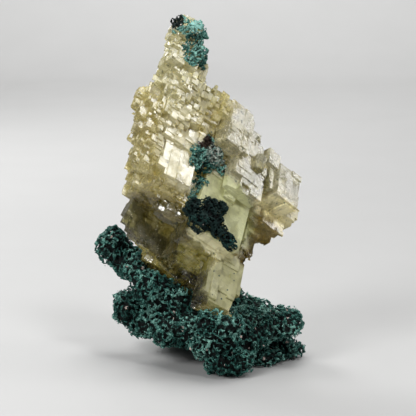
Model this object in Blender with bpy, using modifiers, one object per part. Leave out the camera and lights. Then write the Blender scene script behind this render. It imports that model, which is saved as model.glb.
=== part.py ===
# A cluster of calcite crystals standing in a spongy malachite matrix.
# Metres, +Z up, front towards -Y, foot on the ground.

import math
import random

import bmesh
import bpy
import numpy as np
from mathutils import Matrix, Vector, noise
from mathutils.bvhtree import BVHTree

MM = 0.001
COLLECTION_NAME = "calcite_cluster_parts"
CUTTER_COLLECTION_NAME = "cutters"
SEED = 13

# Places are (across, up, back) in mm. Across and up are what a viewer in front sees
# from this far above level, measured from the foot. Back is the depth behind the middle.
VIEW_TILT_DEG = 10.0
FOOT_BACK = -20.0

# Edges of calcite's cleavage rhomb, as (right, up, towards the viewer).
# They meet at calcite's 78 and 102 degrees.
EDGE_DOWN = (-0.316, -0.849, 0.424)
EDGE_RIGHT = (0.82, -0.57, -0.044)
EDGE_OUT = (0.565, 0.395, 0.725)

# The gap between the calcite and what grows on it
CONTACT_GAP = 0.3
GAP_TO_EDGE = 1.08  # a rhomb's edge is this much longer than the distance between its faces

# Crystals picked out by eye: the middle of the large front face, the edge lengths
# (down, right, deep), and how far it is turned to the left and to face right, in degrees
CRYSTALS = {
    "tower_tip": ((-5.4, 105.0, 2.0), (7.6, 7.6, 5.0), (0, 0)),
    "tower_left_tip": ((-9.6, 103.6, 3.0), (6.0, 3.4, 4.0), (3, 0)),
    "tower_upper": ((-5.6, 99.0, -0.5), (9.0, 8.4, 8.0), (2, 0)),
    "tower_side": ((-12.4, 94.4, 2.0), (8.0, 3.6, 3.4), (4, 0)),
    "tower_side_low": ((-12.6, 87.4, 1.6), (7.0, 4.0, 3.4), (0, 0)),
    "tower_middle": ((-4.6, 92.0, -1.5), (11.0, 7.8, 9.5), (-1, 0)),
    "tower_lower": ((-4.4, 84.0, -2.6), (12.0, 9.0, 8.0), (1, 0)),
    "tower_root": ((-6.0, 76.0, -4.0), (13.0, 12.0, 10.0), (0, 0)),
    "crown": ((-17.6, 87.0, 0.5), (7.0, 4.4, 4.6), (0, 0)),
    "shoulder": ((-19.6, 84.6, 2.0), (8.0, 3.4, 3.6), (1, 0)),
    "left_upper": ((-17.4, 77.6, -1.0), (11.0, 6.0, 6.0), (2, 0)),
    "left_middle": ((-17.4, 68.4, -2.4), (11.0, 7.0, 6.6), (-1, 0)),
    "left_lower": ((-17.6, 60.6, -3.6), (8.6, 8.0, 7.6), (2, 0)),
    "bright": ((-8.0, 68.4, -7.6), (19.0, 10.6, 5.6), (7, 0)),
    "below_bright": ((-9.8, 53.8, -8.0), (8.4, 7.0, 5.6), (4, 0)),
    "bright_step": ((-11.4, 60.6, -6.4), (12.0, 8.0, 5.6), (5, 0)),
    "central": ((4.6, 50.4, -9.4), (20.0, 16.6, 4.0), (-1, 9)),
    "central_step": ((3.0, 47.4, -7.6), (20.0, 17.4, 6.0), (-1, 9)),
    "apron": ((-3.4, 41.6, -8.6), (12.0, 9.4, 8.0), (-1, 4)),
    "lower": ((5.2, 31.0, -15.6), (20.0, 10.8, 7.0), (5, 6)),
    "step": ((-5.6, 37.0, -7.8), (8.0, 6.4, 7.0), (0, 3)),
    "step_under": ((-3.0, 32.4, -8.6), (8.0, 6.6, 8.0), (-3, 0)),
    "dark": ((-14.9, 44.4, -1.6), (18.0, 24.0, 3.6), (-6, 0)),
    "dark_inner": ((-4.0, 30.0, 2.6), (17.0, 14.0, 10.0), (-4, 0)),
    "notch": ((3.6, 84.6, 1.0), (7.0, 4.4, 6.0), (-4, 12)),
    "notch_right": ((7.0, 82.0, 0.0), (7.0, 5.0, 8.0), (-4, 16)),
    "wing_upper": ((10.0, 76.0, -1.8), (14.0, 8.6, 5.0), (-4, 18)),
    "wing_back": ((13.6, 71.0, 1.0), (10.0, 8.0, 8.0), (-4, 20)),
    "wing_middle": ((13.2, 63.2, -4.0), (16.0, 11.0, 4.6), (-4, 20)),
    "wing_inner": ((20.2, 60.6, -1.6), (8.0, 4.0, 9.0), (-4, 22)),
    "wing_outer": ((24.8, 58.2, -1.4), (11.0, 8.4, 10.0), (-4, 22)),
    "wing_crest": ((20.6, 66.4, 1.0), (5.0, 4.4, 6.0), (-4, 22)),
    "wing_edge": ((26.2, 50.8, 1.0), (7.0, 4.6, 8.0), (-4, 22)),
    "wing_lower": ((20.4, 48.4, -1.4), (8.0, 8.0, 8.0), (-4, 20)),
    "wing_foot": ((14.0, 43.8, -2.0), (7.4, 5.4, 7.0), (-3, 14)),
    "wing_toe": ((12.2, 38.8, -3.6), (6.4, 4.4, 6.0), (-2, 12)),
    "core": ((0.0, 60.0, -3.8), (24.0, 18.0, 20.0), (0, 0)),
    "core_low": ((0.6, 42.4, -4.0), (20.0, 15.0, 20.0), (1, 4)),
}

# Where crystals of each kind grow: the outline seen from in front (across, up), the middle
# depth, the half thickness, and how many crystals of each mean edge length to try for
REGIONS = {
    "tower": {
        "outline": (
            (-13.0, 107.9), (-8.4, 110.7), (-2.8, 107.9), (0.3, 105.7), (-0.3, 100.4), (0.9, 97.7),
            (-0.6, 91.8), (0.6, 86.8), (1.9, 78.7), (-14.9, 78.7), (-15.5, 89.3), (-14.6, 94.2),
            (-15.5, 97.7), (-13.6, 102.9),
        ),
        "middle": 6.0, "half": 8.5, "sizes": ((7.0, 5), (4.4, 14), (3.0, 16)),
    },
    "left": {
        "outline": (
            (-15.5, 89.3), (-18.3, 91.8), (-21.1, 90.5), (-23.2, 83.4), (-22.9, 69.8), (-25.4, 64.5),
            (-25.7, 57.7), (-24.5, 56.1), (-13.9, 51.5), (-6.2, 51.5), (-2.5, 68.8), (-0.9, 89.3),
        ),
        "middle": 5.0, "half": 14.5, "sizes": ((11.0, 4), (7.0, 8), (4.6, 40), (3.4, 44)),
    },
    "right": {
        "outline": (
            (0.9, 84.6), (2.5, 88.0), (8.7, 84.0), (12.7, 77.8), (19.2, 68.8), (23.2, 66.7), (27.6, 61.7),
            (28.5, 50.8), (24.2, 41.5), (14.9, 39.1), (10.2, 34.7), (5.3, 42.5), (-2.5, 56.4), (-8.7, 81.2),
        ),
        "middle": 6.5, "half": 12.5, "sizes": ((12.0, 7), (8.0, 10), (5.0, 18), (3.4, 20)),
    },
    "centre": {
        "outline": (
            (-5.6, 85.6), (4.3, 84.9), (13.6, 62.6), (13.6, 49.6), (8.7, 36.0), (-5.6, 44.0),
            (-13.9, 52.1), (-13.9, 64.2), (-11.8, 73.5),
        ),
        "middle": 6.0, "half": 16.0, "sizes": ((14.0, 6), (9.0, 7), (5.0, 8)),
    },
    "lower": {
        "outline": ((-5.6, 44.6), (11.5, 34.1), (9.3, 21.7), (4.3, 18.6), (-3.1, 21.7), (-6.8, 34.1)),
        "middle": 4.0, "half": 13.0, "sizes": ((9.0, 5), (6.0, 6), (3.6, 6)),
    },
    "dark": {
        "outline": (
            (-24.5, 57.0), (-27.6, 45.6), (-21.1, 36.0), (-11.8, 25.4), (1.9, 18.6), (6.2, 32.2),
            (-0.6, 54.6), (-11.8, 59.5),
        ),
        "middle": 12.0, "half": 10.0, "sizes": ((11.0, 7), (7.0, 9), (4.4, 8)),
    },
}
ROUNDING_DEPTH = 7.0  # a region reaches its full thickness this far inside its outline
SKIN_SHARE = 0.3  # of a crystal's size: the skin of a region that it leaves to smaller ones
TRIES_PER_CRYSTAL = 60
TURN_SPREAD_DEG = 2.2
NAMED_SPREAD_DEG = 0.6  # how far the crystals picked out by eye are turned beyond their given turn
EDGE_SPREAD = (0.68, 1.4)

# Lumps of the matrix: middle (across, up, back) and half sizes (across, back, up)
MATRIX_LUMPS = {
    "knob": ((-29.6, 39.6, 8.0), (5.4, 7.4, 6.0)),
    "knob_under": ((-25.5, 34.4, 8.0), (5.6, 8.0, 4.6)),
    "neck": ((-21.6, 33.4, 4.0), (5.6, 9.0, 5.0)),
    "left_lobe": ((-24.8, 20.4, 4.0), (4.8, 9.0, 5.6)),
    "left_ledge": ((-19.0, 15.8, 3.0), (6.4, 10.0, 4.4)),
    "left_slope": ((-16.0, 26.4, -2.6), (7.0, 9.0, 6.4)),
    "left_middle": ((-12.0, 17.0, 2.0), (9.6, 15.0, 7.6)),
    "under_dark": ((-8.6, 22.6, -6.0), (5.6, 7.0, 5.0)),
    "middle": ((-3.6, 15.6, 2.0), (9.6, 18.0, 7.2)),
    "middle_front": ((3.0, 12.0, -13.0), (9.0, 9.0, 8.2)),
    "front_cover": ((3.0, 17.2, -19.0), (8.0, 4.4, 4.8)),
    "front_cover_left": ((-3.2, 17.6, -15.0), (6.4, 5.0, 4.2)),
    "front_foot": ((6.0, 5.6, -15.0), (8.0, 7.0, 5.6)),
    "right_middle": ((11.0, 13.0, -2.0), (8.0, 15.0, 7.0)),
    "right_neck": ((17.6, 14.6, 1.0), (6.0, 11.0, 4.4)),
    "right_lobe": ((23.8, 15.6, 1.0), (5.8, 9.0, 4.7)),
    "right_shelf": ((17.0, 5.6, 0.0), (7.4, 9.0, 3.0)),
    "right_shelf_tip": ((25.4, 7.6, 6.0), (4.8, 7.6, 2.5)),
    "right_foot": ((21.0, 5.4, 9.0), (6.4, 7.6, 4.0)),
    "back_left": ((-12.0, 18.6, 20.0), (10.0, 10.0, 9.0)),
    "back_left_foot": ((-9.0, 11.6, 23.0), (7.0, 8.0, 6.6)),
    "back_middle": ((3.0, 18.0, 19.0), (11.0, 11.0, 10.0)),
    "back_right": ((14.0, 15.6, 16.0), (8.0, 10.0, 6.6)),
}
MATRIX_VOXEL = 1.1
MATRIX_ROUGHNESS = 1.5
MATRIX_LUMP_LENGTH = 5.0
MATRIX_FACES = 1600

# Tufts on the crystals: each lump's middle (across, up) and radius, as seen from in front
TUFTS = {
    "malachite_tuft_top": (
        (-11.6, 106.6, 1.5), (-9.6, 107.4, 1.4), (-8.0, 108.0, 1.5), (-5.6, 106.6, 1.6),
        (-3.4, 106.0, 2.1), (-1.8, 104.2, 1.6), (-6.6, 104.6, 1.7), (-3.8, 101.8, 2.1),
        (-6.2, 99.4, 1.6), (-2.6, 97.8, 2.2), (-5.0, 96.2, 2.0), (-2.4, 95.0, 1.7),
    ),
    "malachite_tuft_middle": (
        (-0.9, 71.0, 2.6), (-2.8, 68.2, 2.5), (1.2, 67.4, 2.9), (3.2, 65.8, 2.6), (-1.2, 64.4, 2.6),
        (4.4, 62.6, 1.7), (-4.0, 64.8, 1.7),
    ),
    "malachite_tuft_patch": ((-3.7, 59.6, 1.5), (-1.6, 58.6, 1.6), (-3.6, 56.6, 1.5), (-4.8, 54.6, 1.2)),
    "malachite_tuft_big": (
        (-4.0, 50.8, 2.9), (0.0, 51.4, 2.9), (3.4, 51.0, 2.3), (-2.4, 47.2, 3.1), (1.2, 47.4, 3.1),
        (3.2, 44.0, 2.5), (5.6, 41.6, 2.2), (6.8, 40.0, 1.6),
    ),
}
TUFT_VOXEL = 0.55
TUFT_THICKNESS = 0.75  # of each lump's radius, towards the viewer
TUFT_ROUGHNESS = 0.5
TUFT_LUMP_LENGTH = 1.6
TUFT_FACES = 150

COLOURS = {
    "calcite": ((0.56, 0.49, 0.27), 0.25),
    "malachite_matrix": ((0.025, 0.075, 0.065), 0.8),
    "malachite_tuft": ((0.03, 0.1, 0.075), 0.8),
}


def clear_scene():
    for obj in list(bpy.data.objects):
        bpy.data.objects.remove(obj)
    for collection in list(bpy.data.collections):
        bpy.data.collections.remove(collection)


def new_collection(name):
    collection = bpy.data.collections.new(name)
    bpy.context.scene.collection.children.link(collection)
    return collection


def material(name):
    colour, roughness = COLOURS[name]
    made = bpy.data.materials.get(name)
    if made is None:
        made = bpy.data.materials.new(name)
        made.use_nodes = True
        shader = made.node_tree.nodes["Principled BSDF"]
        shader.inputs["Base Color"].default_value = (*colour, 1.0)
        shader.inputs["Roughness"].default_value = roughness
        shader.inputs["Metallic"].default_value = 0.0
    return made


def placed(across, up, back):
    """The point in mm that a viewer sees at this place."""
    tilt = math.radians(VIEW_TILT_DEG)
    height = (up - (back - FOOT_BACK) * math.sin(tilt)) / math.cos(tilt)
    return Vector((across, back, height))


def seen(points):
    """Where a viewer sees points given in mm, as an array of (across, up)."""
    tilt = math.radians(VIEW_TILT_DEG)
    up = points[:, 2] * math.cos(tilt) + (points[:, 1] - FOOT_BACK) * math.sin(tilt)
    return np.stack([points[:, 0], up], axis=1)


def from_view(direction):
    """A direction given as (right, up, towards the viewer), in the object's axes."""
    right, up, towards = direction
    tilt = math.radians(VIEW_TILT_DEG)
    back = up * math.sin(tilt) - towards * math.cos(tilt)
    height = up * math.cos(tilt) + towards * math.sin(tilt)
    return Vector((right, back, height)).normalized()


def towards_viewer():
    return from_view((0.0, 0.0, 1.0))


def rhomb_axes(turns):
    """The three edge directions, turned by (about the viewing axis, about X, about Z) degrees."""
    about_view, about_x, about_z = (math.radians(turn) for turn in turns)
    turned = (
        Matrix.Rotation(about_view, 3, towards_viewer())
        @ Matrix.Rotation(about_x, 3, "X")
        @ Matrix.Rotation(about_z, 3, "Z")
    )
    return [turned @ from_view(edge) for edge in (EDGE_DOWN, EDGE_RIGHT, EDGE_OUT)]


class Rhomb:
    """A cleavage rhomb: its middle, its half edges as columns, all in mm."""

    def __init__(self, middle, edges, turns):
        self.middle = np.array(middle)
        axes = rhomb_axes(turns)
        self.half_edges = np.array([axis * (edge / 2) for axis, edge in zip(axes, edges)]).T

    def corners(self):
        signs = np.array([(i, j, k) for i in (-1, 1) for j in (-1, 1) for k in (-1, 1)])
        return self.middle + signs @ self.half_edges.T

    def holds(self, points):
        """Which of the points lie inside the rhomb."""
        local = (points - self.middle) @ np.linalg.inv(self.half_edges).T
        return (np.abs(local) < 1.0).all(axis=1)

    def mesh(self, name, grown=0.0):
        lengths = np.linalg.norm(self.half_edges, axis=0)
        columns = self.half_edges * (1.0 + grown * GAP_TO_EDGE / lengths)
        shape = bmesh.new()
        bmesh.ops.create_cube(shape, size=2.0)
        for vertex in shape.verts:
            vertex.co = Vector(self.middle + columns @ np.array(vertex.co)) * MM
        made = bpy.data.meshes.new(name)
        shape.to_mesh(made)
        shape.free()
        return made


def rhomb_by_face(face_middle, edges, turns):
    """A rhomb given by the middle of its large front face, as a viewer sees it."""
    out = rhomb_axes(turns)[2]
    return Rhomb(placed(*face_middle) - out * (edges[2] / 2), edges, turns)


def depth_inside(outline, points):
    """How far inside an outline each point is, in mm; negative outside it."""
    corners = np.array(outline)
    nexts = np.roll(corners, -1, axis=0)
    sides = nexts - corners
    offsets = points[:, None, :] - corners[None]
    along = np.clip((offsets * sides).sum(axis=2) / (sides**2).sum(axis=1), 0.0, 1.0)
    distance = np.linalg.norm(offsets - along[..., None] * sides, axis=2).min(axis=1)
    spans = (corners[:, 1] > points[:, 1, None]) != (nexts[:, 1] > points[:, 1, None])
    with np.errstate(divide="ignore", invalid="ignore"):
        crossing = corners[:, 0] + (points[:, 1, None] - corners[:, 1]) * sides[:, 0] / sides[:, 1]
    inside = ((points[:, 0, None] < crossing) & spans).sum(axis=1) % 2 == 1
    return np.where(inside, distance, -distance)


def fits(region, points, skin):
    """Whether every point lies in the region's rounded slab."""
    depth = depth_inside(region["outline"], seen(points))
    if depth.min() < 0.0:
        return False
    slope = 1.0 - np.minimum(depth / ROUNDING_DEPTH, 1.0)
    half = (region["half"] - skin) * np.sqrt(1.0 - slope**2)
    return bool((np.abs(points[:, 1] - region["middle"]) <= half).all())


def grow_region(region, grown, rng):
    """Adds crystals of falling size that fit the region and still show outside the others."""
    outline = np.array(region["outline"])
    low, high = outline.min(axis=0), outline.max(axis=0)
    smallest = region["sizes"][-1][0]
    for size, wanted in region["sizes"]:
        added = 0
        for _ in range(wanted * TRIES_PER_CRYSTAL):
            if added == wanted:
                break
            across = rng.uniform(low[0], high[0])
            up = rng.uniform(low[1], high[1])
            back = region["middle"] + rng.uniform(-region["half"], region["half"])
            edges = [size * rng.uniform(*EDGE_SPREAD) for _ in range(3)]
            turns = [rng.gauss(0.0, TURN_SPREAD_DEG) for _ in range(3)]
            rhomb = Rhomb(placed(across, up, back), edges, turns)
            corners = rhomb.corners()
            if not fits(region, corners, (size - smallest) * SKIN_SHARE):
                continue
            hidden = np.zeros(len(corners), bool)
            for other in grown:
                hidden |= other.holds(corners)
            if hidden.sum() > 6 or hidden.sum() < 2:
                continue
            grown.append(rhomb)
            added += 1


def all_rhombs():
    rng = random.Random(SEED)
    grown = []
    for face_middle, edges, (left, right) in CRYSTALS.values():
        turns = (left, rng.gauss(0.0, NAMED_SPREAD_DEG), right + rng.gauss(0.0, NAMED_SPREAD_DEG))
        grown.append(rhomb_by_face(face_middle, edges, turns))
    for region in REGIONS.values():
        grow_region(region, grown, rng)
    return grown


def object_from(name, mesh, collection):
    obj = bpy.data.objects.new(name, mesh)
    collection.objects.link(obj)
    return obj


def hidden_object(name, mesh, cutters):
    obj = object_from(name, mesh, cutters)
    obj.hide_render = True
    obj.display_type = "WIRE"
    return obj


def baked(obj):
    """The object's mesh with its modifiers applied."""
    bpy.context.view_layer.update()
    graph = bpy.context.evaluated_depsgraph_get()
    return bpy.data.meshes.new_from_object(obj.evaluated_get(graph))


def bake(obj):
    made = baked(obj)
    old = obj.data
    obj.modifiers.clear()
    obj.data = made
    bpy.data.meshes.remove(old)


def keep_outer_body(obj):
    """Keeps the largest closed body, without inner voids or loose scraps."""
    shape = bmesh.new()
    shape.from_mesh(obj.data)
    bmesh.ops.triangulate(shape, faces=shape.faces[:])
    left = set(shape.verts)
    bodies = []
    while left:
        start = left.pop()
        body, waiting = {start}, [start]
        while waiting:
            for edge in waiting.pop().link_edges:
                for vertex in edge.verts:
                    if vertex in left:
                        left.discard(vertex)
                        body.add(vertex)
                        waiting.append(vertex)
        bodies.append(body)

    def size(body):
        spans = [max(v.co[i] for v in body) - min(v.co[i] for v in body) for i in range(3)]
        return math.prod(spans)

    largest = max(bodies, key=size)
    scraps = [vertex for body in bodies if body is not largest for vertex in body]
    bmesh.ops.delete(shape, geom=scraps, context="VERTS")
    bmesh.ops.recalc_face_normals(shape, faces=shape.faces[:])
    shape.to_mesh(obj.data)
    shape.free()


def joined_crystals(name, rhombs, collection, grown=0.0):
    """One solid of these crystals, each grown by the gap if it is to cut."""
    others = new_collection(f"{name}_crystals")
    joined = object_from(name, rhombs[0].mesh(name, grown), collection)
    for index, rhomb in enumerate(rhombs[1:]):
        single = f"{name}_crystal_{index}"
        hidden_object(single, rhomb.mesh(single, grown), others)
    join = joined.modifiers.new("grown_together", "BOOLEAN")
    join.operation = "UNION"
    join.operand_type = "COLLECTION"
    join.collection = others
    join.solver = "EXACT"
    bake(joined)
    for obj in list(others.objects):
        bpy.data.objects.remove(obj)
    bpy.data.collections.remove(others)
    return joined


def build_calcite(rhombs, parts):
    """All the crystals as one solid."""
    calcite = joined_crystals("calcite_cluster", rhombs, parts)
    keep_outer_body(calcite)
    calcite.data.materials.append(material("calcite"))
    return calcite


def lump_mesh(name, lumps, subdivisions):
    """Ellipsoids in one mesh: (middle, half sizes), in mm."""
    shape = bmesh.new()
    for middle, halves in lumps:
        made = bmesh.ops.create_icosphere(shape, subdivisions=subdivisions, radius=1.0)
        for vertex in made["verts"]:
            scaled = Vector((vertex.co[i] * halves[i] for i in range(3)))
            vertex.co = (Vector(middle) + scaled) * MM
    made = bpy.data.meshes.new(name)
    shape.to_mesh(made)
    shape.free()
    return made


def roughen(obj, amount, length):
    """Moves each point along its normal by fractal noise, for knobs and pits."""
    shape = bmesh.new()
    shape.from_mesh(obj.data)
    shape.normal_update()
    moves = []
    for vertex in shape.verts:
        place = vertex.co / (length * MM)
        height = noise.fractal(place, 1.0, 2.0, 3, noise_basis="PERLIN_ORIGINAL")
        moves.append(vertex.normal * (height * amount * MM))
    for vertex, move in zip(shape.verts, moves):
        vertex.co += move
    shape.to_mesh(obj.data)
    shape.free()


def remesh(obj, voxel):
    step = obj.modifiers.new("one_skin", "REMESH")
    step.mode = "VOXEL"
    step.voxel_size = voxel * MM
    bake(obj)


def decimate(obj, faces):
    shape_faces = sum(len(face.vertices) - 2 for face in obj.data.polygons)
    step = obj.modifiers.new("fewer_faces", "DECIMATE")
    step.ratio = min(1.0, faces / shape_faces)
    bake(obj)


def cut_below_ground(obj):
    shape = bmesh.new()
    shape.from_mesh(obj.data)
    everything = shape.verts[:] + shape.edges[:] + shape.faces[:]
    cut = bmesh.ops.bisect_plane(
        shape, geom=everything, plane_co=(0, 0, 0), plane_no=(0, 0, -1), clear_outer=True
    )
    rim = [item for item in cut["geom_cut"] if isinstance(item, bmesh.types.BMEdge)]
    bmesh.ops.holes_fill(shape, edges=rim, sides=0)
    bmesh.ops.triangulate(shape, faces=shape.faces[:])
    shape.to_mesh(obj.data)
    shape.free()


def reaches(rhomb, low, high):
    """Whether a rhomb's box meets the box from low to high."""
    corners = rhomb.corners()
    return (corners.max(axis=0) > low).all() and (corners.min(axis=0) < high).all()


def cut_round_crystals(obj, rhombs, cutters):
    """Takes the crystals out of a lump of malachite, with the contact gap."""
    corners = np.array([tuple(vertex.co / MM) for vertex in obj.data.vertices])
    low, high = corners.min(axis=0) - CONTACT_GAP, corners.max(axis=0) + CONTACT_GAP
    near = [rhomb for rhomb in rhombs if reaches(rhomb, low, high)]
    cutter = joined_crystals(f"{obj.name}_cutter", near, cutters, CONTACT_GAP)
    cutter.hide_render = True
    cutter.display_type = "WIRE"
    cut = obj.modifiers.new("contact", "BOOLEAN")
    cut.operation = "DIFFERENCE"
    cut.object = cutter
    cut.solver = "EXACT"
    bake(obj)
    bpy.data.objects.remove(cutter)
    keep_outer_body(obj)


def build_matrix(rhombs, parts, cutters):
    lumps = [(placed(*middle), halves) for middle, halves in MATRIX_LUMPS.values()]
    matrix = object_from("malachite_matrix", lump_mesh("malachite_matrix", lumps, 4), parts)
    remesh(matrix, MATRIX_VOXEL)
    roughen(matrix, MATRIX_ROUGHNESS, MATRIX_LUMP_LENGTH)
    remesh(matrix, MATRIX_VOXEL)
    decimate(matrix, MATRIX_FACES)
    cut_below_ground(matrix)
    cut_round_crystals(matrix, rhombs, cutters)
    matrix.data.materials.append(material("malachite_matrix"))
    return matrix


def build_tuft(name, lumps, calcite_tree, rhombs, parts, cutters):
    """A tuft whose lumps sit where a viewer sees the calcite behind them."""
    towards = towards_viewer()
    shapes = []
    for across, up, radius in lumps:
        start = placed(across, up, 0.0) + towards * 100.0
        hit = calcite_tree.ray_cast(start * MM, -towards)[0]
        if hit is None:
            hit = calcite_tree.find_nearest(placed(across, up, 0.0) * MM)[0]
        middle = hit / MM
        shapes.append((middle, (radius, radius * TUFT_THICKNESS, radius)))
    tuft = object_from(name, lump_mesh(name, shapes, 3), parts)
    remesh(tuft, TUFT_VOXEL)
    roughen(tuft, TUFT_ROUGHNESS, TUFT_LUMP_LENGTH)
    remesh(tuft, TUFT_VOXEL)
    decimate(tuft, TUFT_FACES)
    cut_round_crystals(tuft, rhombs, cutters)
    tuft.data.materials.append(material("malachite_tuft"))
    return tuft


def centre_over_origin(parts):
    """Moves every part so that the middle of the whole box's foot is the origin."""
    corners = [vertex.co for obj in parts.objects for vertex in obj.data.vertices]
    low = Vector(min(corner[i] for corner in corners) for i in range(3))
    high = Vector(max(corner[i] for corner in corners) for i in range(3))
    shift = Vector((-(low.x + high.x) / 2, -(low.y + high.y) / 2, -low.z))
    for obj in parts.objects:
        obj.data.transform(Matrix.Translation(shift))


def main():
    clear_scene()
    parts = new_collection(COLLECTION_NAME)
    cutters = new_collection(CUTTER_COLLECTION_NAME)
    rhombs = all_rhombs()
    print(len(rhombs), "crystals")
    calcite = build_calcite(rhombs, parts)
    build_matrix(rhombs, parts, cutters)
    tree = BVHTree.FromPolygons(
        [vertex.co for vertex in calcite.data.vertices],
        [tuple(face.vertices) for face in calcite.data.polygons],
    )
    for name, lumps in TUFTS.items():
        build_tuft(name, lumps, tree, rhombs, parts, cutters)
    centre_over_origin(parts)
    print("moved so that the foot's middle is the origin")


main()
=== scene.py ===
import math
import random

import bmesh
import bpy
import numpy as np
from mathutils import Matrix, Vector


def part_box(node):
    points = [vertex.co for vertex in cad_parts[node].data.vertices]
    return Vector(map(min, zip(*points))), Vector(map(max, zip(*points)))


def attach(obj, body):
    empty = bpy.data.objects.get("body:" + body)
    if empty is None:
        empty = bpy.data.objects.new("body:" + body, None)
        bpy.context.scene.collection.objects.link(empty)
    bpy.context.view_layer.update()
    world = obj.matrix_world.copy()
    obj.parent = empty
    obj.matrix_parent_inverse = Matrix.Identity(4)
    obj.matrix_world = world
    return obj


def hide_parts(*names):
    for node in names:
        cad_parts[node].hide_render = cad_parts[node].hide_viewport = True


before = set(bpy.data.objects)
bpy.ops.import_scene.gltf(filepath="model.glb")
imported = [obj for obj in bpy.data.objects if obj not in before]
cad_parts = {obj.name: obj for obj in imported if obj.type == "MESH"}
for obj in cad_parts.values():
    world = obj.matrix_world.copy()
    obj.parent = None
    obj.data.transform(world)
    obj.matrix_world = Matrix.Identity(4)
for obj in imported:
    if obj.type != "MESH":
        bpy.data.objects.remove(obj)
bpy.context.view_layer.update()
mm = 0.001


# Small helpers for node trees

class Value:
    # A socket that Python's own operators add Math nodes to
    def __init__(self, graph, socket):
        self.graph = graph
        self.socket = socket

    def math(self, operation, *others, clamp=False):
        settings = {"operation": operation, "use_clamp": clamp}
        made = self.graph.node("ShaderNodeMath", settings, dict(enumerate([self, *others])))
        return Value(self.graph, made.outputs[0])

    def __add__(self, other):
        return self.math("ADD", other)

    __radd__ = __add__

    def __sub__(self, other):
        return self.math("SUBTRACT", other)

    def __rsub__(self, other):
        return self.math("MULTIPLY", -1.0) + other

    def __mul__(self, other):
        return self.math("MULTIPLY", other)

    __rmul__ = __mul__

    def smooth(self, low, high):
        # 0 below low, 1 above high, with a soft step between
        settings = {"interpolation_type": "SMOOTHSTEP"}
        inputs = {"Value": self, "From Min": low, "From Max": high}
        return Value(self.graph, self.graph.node("ShaderNodeMapRange", settings, inputs).outputs[0])


class Graph:
    # One node tree, with one method that makes every node
    def __init__(self, tree):
        self.tree = tree
        tree.nodes.clear()

    def node(self, kind, settings=None, inputs=None):
        made = self.tree.nodes.new(kind)
        for name, value in (settings or {}).items():
            if name == "stops":
                self.setStops(made.color_ramp, value)
            else:
                setattr(made, name, value)
        for name, value in (inputs or {}).items():
            socket = made.inputs[name]
            source = value.socket if isinstance(value, Value) else value
            if isinstance(source, bpy.types.NodeSocket):
                self.tree.links.new(source, socket)
            else:
                socket.default_value = source
        return made

    def setStops(self, ramp, stops):
        while len(ramp.elements) < len(stops):
            ramp.elements.new(1.0)
        for element, (place, colour) in zip(ramp.elements, stops):
            element.position = place
            element.color = (*colour, 1.0)

    def out(self, kind, settings=None, inputs=None, output=0):
        return Value(self, self.node(kind, settings, inputs).outputs[output])

    def vector(self, operation, *inputs, output=0):
        settings = {"operation": operation}
        return self.out("ShaderNodeVectorMath", settings, dict(enumerate(inputs)), output)

    def mix(self, share, first, second, blend="MIX"):
        settings = {"data_type": "RGBA", "blend_type": blend}
        first = (*first, 1.0) if isinstance(first, tuple) else first
        second = (*second, 1.0) if isinstance(second, tuple) else second
        return self.out("ShaderNodeMix", settings, {0: share, 6: first, 7: second}, 2)

    def noise(self, place, size, detail=2.0, roughness=0.5, **more):
        # size is the length of one swing, in the units of place
        inputs = {"Vector": place, "Scale": 1.0 / size, "Detail": detail, "Roughness": roughness}
        return self.out("ShaderNodeTexNoise", more, inputs)

    def shift(self, place, amount):
        # Moves a texture, so that two of the same kind differ
        return self.vector("ADD", place, (amount, -0.7 * amount, 0.4 * amount))

    def millimetres(self, place):
        return self.vector("MULTIPLY", place, (1.0 / mm, 1.0 / mm, 1.0 / mm))

    def objectPlace(self):
        return self.out("ShaderNodeTexCoord", None, None, "Object")

    def cellNumber(self, colour):
        # A random number for each cell, which is the red of its colour
        return self.out("ShaderNodeSeparateColor", None, {0: colour})


def newMaterial(name):
    made = bpy.data.materials.new(name)
    made.use_nodes = True
    return made, Graph(made.node_tree)


# Meshes

def newObject(name, mesh):
    obj = bpy.data.objects.new(name, mesh)
    bpy.context.scene.collection.objects.link(obj)
    return obj


def bakedMesh(obj):
    bpy.context.view_layer.update()
    graph = bpy.context.evaluated_depsgraph_get()
    return bpy.data.meshes.new_from_object(obj.evaluated_get(graph))


def triangleCount(mesh):
    return sum(len(face.vertices) - 2 for face in mesh.polygons)


# The crystals, with the values of the solid model

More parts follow.
